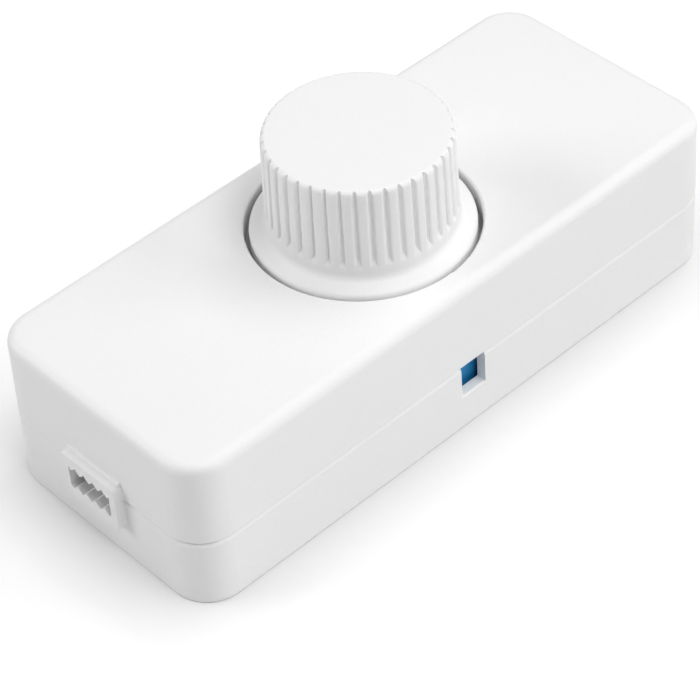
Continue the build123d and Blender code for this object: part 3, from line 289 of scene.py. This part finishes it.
def zinc_plate(name, base, roughness):
    """Zinc plate on pressed steel: faint crystal patches, each a little lighter or darker than the next."""
    material, tree, surface = new_finish(name, base, roughness, metallic=1.0)
    place = add_node(tree, "ShaderNodeTexCoord").outputs["Object"]
    crystals = add_node(
        tree, "ShaderNodeTexVoronoi", {"Vector": place, "Scale": cells_per_metre(ZINC_CRYSTAL_MM)}
    )
    tone = add_node(
        tree,
        "ShaderNodeMix",
        {"Factor": crystals.outputs["Color"], "A": colour(base, ZINC_CRYSTAL_SHADE), "B": colour(base)},
        data_type="RGBA",
    )
    tree.links.new(tone.outputs["Result"], surface.inputs["Base Color"])
    return material


def glass_cloth_board(name, base, roughness):
    """Solder mask over glass laminate: the woven glass shows as a fine grid under a glossy coat."""
    material, tree, surface = new_finish(name, base, roughness, ior=1.55)
    place = add_node(tree, "ShaderNodeTexCoord").outputs["Object"]
    scale = cells_per_metre(THREAD_SPACING_MM) * 2 * math.pi / WAVES_PER_TURN
    weave = []
    for direction in ("X", "Y"):
        threads = add_node(
            tree,
            "ShaderNodeTexWave",
            {"Vector": place, "Scale": scale, "Distortion": 0.4},
            bands_direction=direction,
        )
        weave.append(threads.outputs["Fac"])
    grid = add_node(tree, "ShaderNodeMath", {0: weave[0], 1: weave[1]}, operation="MULTIPLY")
    tone = add_node(
        tree,
        "ShaderNodeMix",
        {"Factor": grid.outputs["Value"], "A": colour(base), "B": colour(base, THREAD_GLEAM)},
        data_type="RGBA",
    )
    tree.links.new(tone.outputs["Result"], surface.inputs["Base Color"])
    return material


def dipped_coating(name, base, roughness):
    """Dipped lacquer or epoxy: a thick glossy skin with the slow waves of orange peel."""
    material, tree, surface = new_finish(name, base, roughness, ior=1.55)
    place = add_node(tree, "ShaderNodeTexCoord").outputs["Object"]
    peel = add_node(
        tree, "ShaderNodeTexNoise", {"Vector": place, "Scale": cells_per_metre(PEEL_MM), "Detail": 1.0}
    )
    relief = add_node(
        tree,
        "ShaderNodeBump",
        {"Height": peel.outputs["Fac"], "Strength": 1.0, "Distance": PEEL_HEIGHT_MM * MM},
    )
    tone = add_node(
        tree,
        "ShaderNodeMix",
        {"Factor": peel.outputs["Fac"], "A": colour(base), "B": colour(base, PEEL_SHADE)},
        data_type="RGBA",
    )
    tree.links.new(tone.outputs["Result"], surface.inputs["Base Color"])
    tree.links.new(relief.outputs["Normal"], surface.inputs["Normal"])
    return material


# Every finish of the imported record, by its slot. After the roughness come a plastic's grain width and height,
# or a metal's stretch, mark width and mark height, all but the stretch in millimetres.
finishes = {
    # Moulded ABS: soft white, with an even grain that leaves a broad dull gleam and no mirror image
    "white_case_plastic": moulded_plastic("moulded white ABS", WHITE_ABS, 0.5, 0.3, 0.02),
    "white_knob_plastic": moulded_plastic("moulded white ABS knob", WHITE_ABS, 0.5, 0.3, 0.02),
    # Moulded in a polished tool: a clear blue with a small soft gleam
    "blue_trimmer_plastic": moulded_plastic("moulded blue polyester", "#2E9BDB", 0.4, 0.2, 0.004),
    # Turned brass: warm yellow, with fine cuts that draw the gleam out
    "brass_screw": worked_metal("turned brass", "#C9A25A", 0.3, (1, 1, 12), 0.4, 0.004),
    # Nickel plate: a slightly warm silver, almost a mirror
    "nickel_plated_steel": worked_metal("nickel-plated steel", "#C9C6C0", 0.22, (1, 1, 1), 0.5, 0.002),
    # Zinc plate: a duller, bluer silver in faint patches
    "zinc_plated_steel": zinc_plate("zinc-plated steel", "#B4B6B8", 0.35),
    # Die casting: satin grey, a little uneven from the flow in the die
    "die_cast_zinc": worked_metal("die-cast zinc", "#A9A9A6", 0.4, (1, 1, 1), 0.6, 0.006),
    # Turned aluminium: pale silver with rings round the shaft
    "aluminium_shaft": worked_metal("turned aluminium", "#C3C4C6", 0.3, (0.1, 0.1, 6), 0.5, 0.003),
    # Hot tinning: soft bright silver that ran down the wire
    "tinned_copper": worked_metal("tinned copper", "#C8C6BF", 0.3, (1, 1, 0.2), 0.4, 0.003),
    # Paper laminate: matt brown with a slight mottle
    "brown_phenolic": moulded_plastic("phenolic laminate", "#6B4423", 0.55, 0.5, 0.01, ior=1.6),
    # Printed and baked ink: a dead matt black
    "carbon_track": moulded_plastic("printed carbon", "#161616", 0.6, 0.15, 0.004),
    # Moulded acetal: black with a waxy gleam
    "black_rotor_plastic": moulded_plastic("moulded black acetal", "#171718", 0.35, 0.25, 0.004, ior=1.48),
    # Rolled bronze: reddish gold, streaked along the strip
    "spring_bronze": worked_metal("rolled phosphor bronze", "#B9854A", 0.3, (0.1, 1, 1), 0.3, 0.003),
    # Solder mask: a glossy green coat with the weave under it
    "green_board": glass_cloth_board("solder-masked glass laminate", "#0E5A2B", 0.3),
    # Moulded polyamide: a satin mid green
    "green_block_plastic": moulded_plastic("moulded green polyamide", "#2C8A4A", 0.45, 0.25, 0.006),
    # Moulded epoxy: charcoal, matt from its tool
    "black_epoxy": moulded_plastic("moulded black epoxy", "#1B1B1C", 0.5, 0.12, 0.006, ior=1.57),
    # Extruded aluminium: satin silver with long die lines
    "aluminium_sink": worked_metal("extruded aluminium", "#B8BABC", 0.38, (1, 1, 0.05), 0.4, 0.005),
    # Drawn aluminium: brighter, with faint lines up the can
    "aluminium_can": worked_metal("drawn aluminium", "#C9CACC", 0.28, (1, 1, 0.1), 0.4, 0.003),
    # Shrunk film: a thin black skin that shines sharply
    "black_sleeve": dipped_coating("shrunk polyester sleeve", "#15161C", 0.2),
    # Moulded rubber: deep black that hardly shines
    "black_rubber": moulded_plastic("moulded butyl rubber", "#1C1C1C", 0.8, 0.3, 0.01, ior=1.52),
    # Dipped epoxy: a thick, wet-looking yellow
    "yellow_fuse_coating": dipped_coating("dipped yellow epoxy", "#D9A126", 0.25),
    # Dipped lacquer: a glossy tan with soft waves
    "tan_resistor_coating": dipped_coating("dipped tan lacquer", "#BFA57A", 0.3),
}
for row in frame["record"]["subparts"]:
    for finish_slot in frame["nodes"][row["node"]].material_slots:
        finish_slot.material = finishes[row["material_slot"]]


def new_piece(name, points, faces, body, slot, replaced):
    """Makes a smooth-shaded mesh piece with crisp corners, in its finish, riding on a body."""
    mesh = bpy.data.meshes.new(name)
    mesh.from_pydata(points, [], faces)
    mesh.validate()
    mesh.update()
    mesh.shade_smooth()
    mesh.set_sharp_from_angle(angle=CRISP_ANGLE)
    mesh.materials.append(finishes[slot])
    piece = bpy.data.objects.new(name, mesh)
    bpy.context.scene.collection.objects.link(piece)
    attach(piece, body)
    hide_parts(*replaced)
    return piece


def arc(centre_r, centre_z, radius, start, end, steps):
    """Points (r, z) of an arc, its angles in degrees."""
    points = []
    for step in range(steps + 1):
        angle = math.radians(start + (end - start) * step / steps)
        points.append((centre_r + radius * math.cos(angle), centre_z + radius * math.sin(angle)))
    return points


def groove_depth(offset):
    """How deep a groove is at an offset from its middle: rounded floor, slanting flanks, rounded rib edge."""
    offset = abs(offset)
    floor = GROOVE_FLOOR / 2
    mouth = GROOVE_MOUTH / 2
    if offset <= floor:
        return GROOVE_DEPTH - floor + math.sqrt(floor ** 2 - offset ** 2)
    if offset <= mouth:
        share = (offset - floor) / (mouth - floor)
        return (GROOVE_DEPTH - floor) * (1 - share) + RIB_EDGE_RADIUS * share
    left = max(mouth + RIB_EDGE_RADIUS - offset, 0)
    return RIB_EDGE_RADIUS - math.sqrt(RIB_EDGE_RADIUS ** 2 - left ** 2)


def side_radius(height):
    """The radius of the ribs' faces at a height: a straight taper."""
    share = (height - COVE_START) / (KNOB_TOP - COVE_START)
    return KNOB_BASE_RADIUS + (KNOB_TOP_RADIUS - KNOB_BASE_RADIUS) * share


def grooved_radius(radius, height, angle):
    """The outside's radius at a height and an angle, where a groove may cut it."""
    if height <= GROOVE_START:
        return radius
    from_rib = (angle - GROOVE_TURN + GROOVE_PITCH / 2) % GROOVE_PITCH
    offset = (from_rib - GROOVE_PITCH / 2) * KNOB_BASE_RADIUS
    cut = min(groove_depth(offset), (height - GROOVE_START) / GROOVE_RUN_OUT)
    return min(radius, side_radius(height) - cut)


def bored_radius(radius, height, angle):
    """The inside's radius at a height and an angle. The bore is a D over the shaft's flat, on the +Y side."""
    over_flat = radius == BORE_RADIUS and height > FLAT_BOTTOM and math.sin(angle) > 0
    return min(radius, BORE_FLAT / math.sin(angle)) if over_flat else radius


def knob_outside():
    """The knob's section from near the middle of its top, down its outside to the skirt's lower edge."""
    edge_r = KNOB_TOP_RADIUS - KNOB_EDGE_RADIUS
    side_top = KNOB_TOP - KNOB_EDGE_RADIUS
    section = [(edge_r * ring / TOP_RINGS, KNOB_TOP) for ring in range(1, TOP_RINGS)]
    # The edge stops 2 degrees short of upright, where the side's taper takes over
    section += arc(edge_r, side_top, KNOB_EDGE_RADIUS, 90, 2, EDGE_STEPS)
    run_out_length = GROOVE_DEPTH * GROOVE_RUN_OUT
    run_out = [GROOVE_START + run_out_length * share for share in RUN_OUT_ROWS]
    side = [side_top + (run_out[0] - side_top) * share for share in SIDE_ROWS]
    section += [(side_radius(height), height) for height in side + run_out]
    sweep = 90 - math.degrees(SKIRT_FALL)
    cove = arc(KNOB_BASE_RADIUS + COVE_RADIUS, COVE_START, COVE_RADIUS, 180, 180 + sweep, CURVE_STEPS)
    slope_r, slope_z = cove[-1]
    corner = slope_z - (SKIRT_RADIUS - slope_r) * math.tan(SKIRT_FALL)
    rim_z = corner - RIM_RADIUS * (1 - math.sin(SKIRT_FALL)) / math.cos(SKIRT_FALL)
    rim = arc(SKIRT_RADIUS - RIM_RADIUS, rim_z, RIM_RADIUS, sweep, 0, CURVE_STEPS)
    return section + cove + rim + [(SKIRT_RADIUS, SKIRT_BOTTOM)], corner


def knob_inside(corner):
    """The section of the hollow: up inside the skirt and the wall, and down the hub to its bore."""
    inner_r = SKIRT_RADIUS - SKIRT_WALL
    wall_r = KNOB_TOP_RADIUS - GROOVE_DEPTH - KNOB_WALL
    return [
        (inner_r, SKIRT_BOTTOM),
        (inner_r, corner - SKIRT_SHOULDER),
        (wall_r, COVE_START),
        (wall_r, KNOB_TOP - KNOB_ROOF),
        (HUB_RADIUS, KNOB_TOP - KNOB_ROOF),
        (HUB_RADIUS, HUB_BOTTOM),
        (BORE_RADIUS, HUB_BOTTOM),
        (BORE_RADIUS, FLAT_BOTTOM),
        (BORE_RADIUS, FLAT_BOTTOM + FLAT_STEP),
        (BORE_RADIUS, BORE_TOP),
    ]


def groove_columns():
    """The angles of the mesh's columns: many across each groove, and one in the middle of each rib."""
    offsets = [GROOVE_FLOOR / 2 * share for share in FLOOR_COLUMNS]
    offsets += [(GROOVE_FLOOR + GROOVE_MOUTH) / 4, GROOVE_MOUTH / 2]
    offsets += [GROOVE_MOUTH / 2 + RIB_EDGE_RADIUS * share for share in EDGE_COLUMNS]
    angles = [offset / KNOB_BASE_RADIUS for offset in offsets]
    turn = sorted({-angle for angle in angles} | set(angles)) + [GROOVE_PITCH / 2]
    starts = [groove * GROOVE_PITCH + GROOVE_TURN for groove in range(GROOVE_COUNT)]
    return [start + angle for start in starts for angle in turn]


def skin_faces(row_count, column_count):
    """The faces of a turned skin: a fan round the middle point at each end, and quads between its rows."""
    faces = []
    last = 1 + (row_count - 1) * column_count
    bore_middle = last + column_count
    for column in range(column_count):
        following = (column + 1) % column_count
        faces.append((0, 1 + column, 1 + following))
        faces.append((bore_middle, last + following, last + column))
        for row in range(row_count - 1):
            upper = 1 + row * column_count
            lower = upper + column_count
            faces.append((upper + column, lower + column, lower + following, upper + following))
    return faces


def web_slab(points, faces, direction):
    """One web between the hub and the wall: a slab whose ends sink into both."""
    across = Vector((-direction.y, direction.x, 0)) * WEB_THICKNESS / 2
    near = direction * (HUB_RADIUS - KNOB_WALL / 2)
    far = direction * (KNOB_TOP_RADIUS - GROOVE_DEPTH - KNOB_WALL / 2)
    first = len(points)
    for height in (WEB_BOTTOM, KNOB_TOP - KNOB_ROOF / 2):
        for corner in (near - across, far - across, far + across, near + across):
            points.append((corner.x, corner.y, height))
    for side in ((3, 2, 1, 0), (4, 5, 6, 7), (0, 1, 5, 4), (1, 2, 6, 5), (2, 3, 7, 6), (3, 0, 4, 7)):
        faces.append([first + corner for corner in side])


def make_knob():
    """The ribbed knob: each groove runs out in the rounded top edge, and above the skirt in a steep slope."""
    columns = groove_columns()
    outside, corner = knob_outside()
    inside = knob_inside(corner)
    points = [(0, 0, KNOB_TOP)]
    for section, shaped_radius in ((outside, grooved_radius), (inside, bored_radius)):
        for radius, height in section:
            for angle in columns:
                r = shaped_radius(radius, height, angle)
                points.append((r * math.cos(angle), r * math.sin(angle), height))
    points.append((0, 0, BORE_TOP))
    faces = skin_faces(len(outside) + len(inside), len(columns))
    for direction in ((1, 0, 0), (0, 1, 0), (-1, 0, 0), (0, -1, 0)):
        web_slab(points, faces, Vector(direction))
    return new_piece("ribbed_knob", points, faces, "knob_and_shaft", "white_knob_plastic", ["knob"])


def make_floor():
    """A pale matt floor. For camera rays a share of it glows white, which leaves it white all round, and that
    glow is dimmed by ambient occlusion round the foot of the case: a painted contact shadow over the real one."""
    material, tree, surface = new_finish("pale matt floor", "#E6E6E6", 0.9)
    # Painted contact shadow: ambient occlusion dims the floor's glow near the case
    painted_contact_shadow = add_node(tree, "ShaderNodeAmbientOcclusion", {"Distance": PAINTED_SHADOW_REACH})
    level = add_node(tree, "ShaderNodeMath", {0: painted_contact_shadow.outputs["AO"], 1: GLOW_LEVEL}, operation="MULTIPLY")
    glow = add_node(tree, "ShaderNodeEmission", {"Strength": level.outputs["Value"]})
    both = add_node(
        tree, "ShaderNodeMixShader", {0: GLOW_SHARE, 1: surface.outputs["BSDF"], 2: glow.outputs["Emission"]}
    )
    seen = add_node(tree, "ShaderNodeLightPath")
    pick = add_node(
        tree,
        "ShaderNodeMixShader",
        {0: seen.outputs["Is Camera Ray"], 1: surface.outputs["BSDF"], 2: both.outputs["Shader"]},
    )
    tree.links.new(pick.outputs["Shader"], tree.nodes["Material Output"].inputs["Surface"])
    mesh = bpy.data.meshes.new("floor")
    corners = [(x * FLOOR_HALF, y * FLOOR_HALF, 0) for x, y in ((-1, -1), (1, -1), (1, 1), (-1, 1))]
    mesh.from_pydata(corners, [], [(0, 1, 2, 3)])
    mesh.materials.append(material)
    floor = bpy.data.objects.new("floor", mesh)
    bpy.context.scene.collection.objects.link(floor)


def make_softbox(name, place, level):
    """A square lamp that looks at the case. Its level is how brightly it alone lights a white card there."""
    place = Vector(place)
    lamp = bpy.data.lights.new(name, "AREA")
    lamp.size = SOFTBOX_SIZE
    lamp.energy = level * math.pi ** 2 * place.length_squared
    holder = bpy.data.objects.new(name, lamp)
    holder.location = place
    holder.rotation_euler = (-place).to_track_quat("-Z", "Y").to_euler()
    bpy.context.scene.collection.objects.link(holder)


def make_light():
    """Soft studio light: a dim white sky all round and four softboxes above the case."""
    world = bpy.data.worlds.new("studio")
    bpy.context.scene.world = world
    world.use_nodes = True
    sky = world.node_tree.nodes["Background"]
    sky.inputs["Color"].default_value = colour("#FFFFFF")
    sky.inputs["Strength"].default_value = SKY_LEVEL
    for name, (place, level) in SOFTBOXES.items():
        make_softbox(name, place, level)


def make_camera():
    """The photo's view: from the left and front, well above the case."""
    camera = bpy.data.cameras.new("camera")
    camera.lens = CAMERA_LENS
    holder = bpy.data.objects.new("camera", camera)
    heading = Matrix.Rotation(math.radians(-CAMERA_HEADING), 4, "Z")
    pitch = Matrix.Rotation(math.radians(90 - CAMERA_PITCH), 4, "X")
    roll = Matrix.Rotation(math.radians(CAMERA_ROLL), 4, "Z")
    holder.matrix_world = Matrix.Translation(CAMERA_PLACE) @ heading @ pitch @ roll
    bpy.context.scene.collection.objects.link(holder)
    bpy.context.scene.camera = holder


make_knob()
make_floor()
make_light()
make_camera()
bpy.context.scene.view_settings.view_transform = "Standard"
